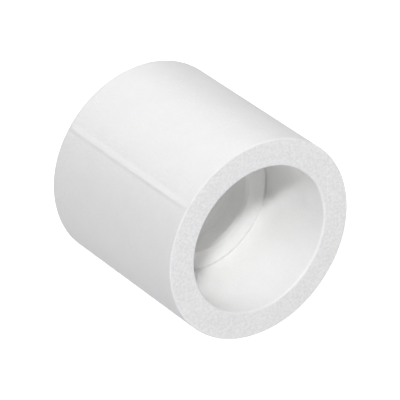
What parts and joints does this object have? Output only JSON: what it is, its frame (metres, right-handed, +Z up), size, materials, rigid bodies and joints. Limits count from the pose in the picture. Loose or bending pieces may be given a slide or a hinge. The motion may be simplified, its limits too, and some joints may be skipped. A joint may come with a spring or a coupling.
{
  "type": "reducing coupling",
  "caption": "Straight-sided plastic reducing coupling: a sleeve with a tapered fusion socket, a stop ring, and a bush that narrows the far socket for smaller pipe.",
  "frame": {"origin": "on the surface that the coupling lies on, under the middle of its length", "axes": "+Y along the bore, from the open large socket towards the bush end; +Z up"},
  "size_m": [0.043, 0.041, 0.043],
  "materials": {
    "sleeve_plastic": "matt white, fine grain",
    "bush_plastic": "matt white, fine grain"
  },
  "bodies": {
    "root": {"coupling_body": "sleeve_plastic", "reducing_bush": "bush_plastic"}
  },
  "joints": []
}
